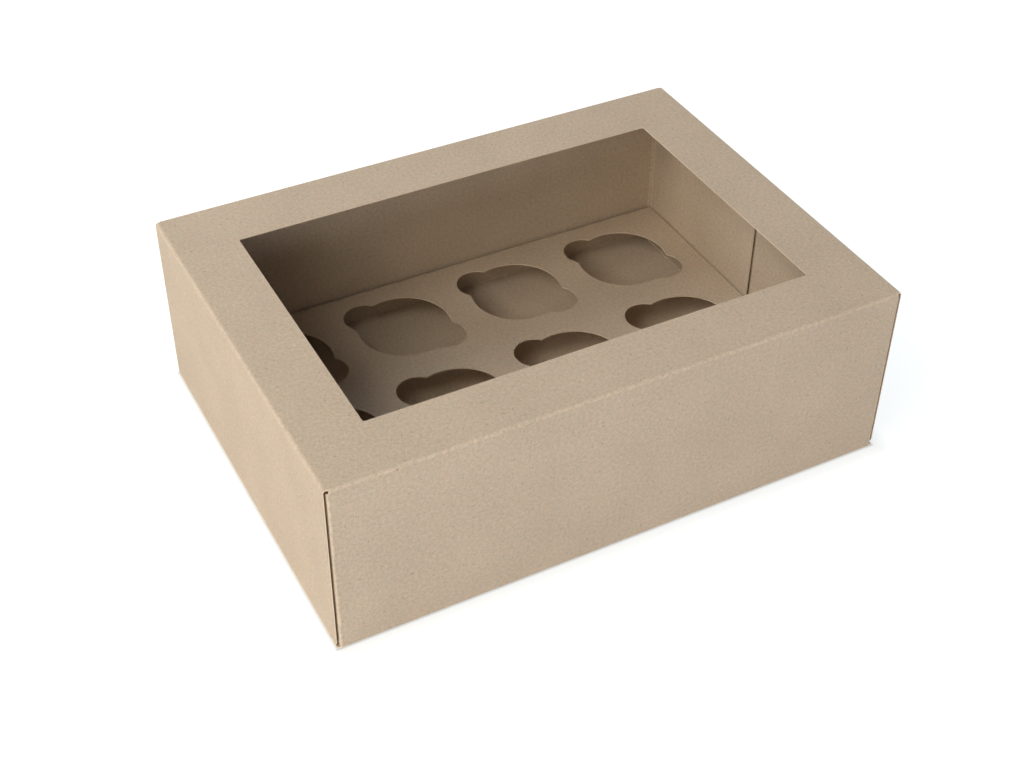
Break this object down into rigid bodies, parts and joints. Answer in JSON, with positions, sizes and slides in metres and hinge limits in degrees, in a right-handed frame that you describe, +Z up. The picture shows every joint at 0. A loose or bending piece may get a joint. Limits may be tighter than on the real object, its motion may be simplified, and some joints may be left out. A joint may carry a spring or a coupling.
{
  "type": "cupcake box",
  "caption": "Kraft board box with an open window in its top, a tuck flap at each end and a punched insert that holds cupcakes upright.",
  "frame": {"origin": "middle of the bottom panel's underside", "axes": "+X along the box's length, towards the right end flap; -Y towards the front; +Z up, out of the window"},
  "size_m": [0.35, 0.256, 0.115],
  "materials": {
    "kraft_outside": "matte",
    "kraft_flap": "matte",
    "kraft_insert": "matte"
  },
  "bodies": {
    "carton": {"carton_body": "kraft_outside", "insert": "kraft_insert"},
    "left_flap": {"left_end_flap": "kraft_flap"},
    "right_flap": {"right_end_flap": "kraft_flap"}
  },
  "joints": [
    {"name": "left_flap_hinge", "type": "hinge", "parent": "carton", "child": "left_flap", "pos_m": [-0.1751, 0, 0.11285], "axis": [0, 1, 0], "range_deg": [0, 175]},
    {"name": "right_flap_hinge", "type": "hinge", "parent": "carton", "child": "right_flap", "pos_m": [0.1751, 0, 0.11285], "axis": [0, -1, 0], "range_deg": [0, 175]}
  ]
}
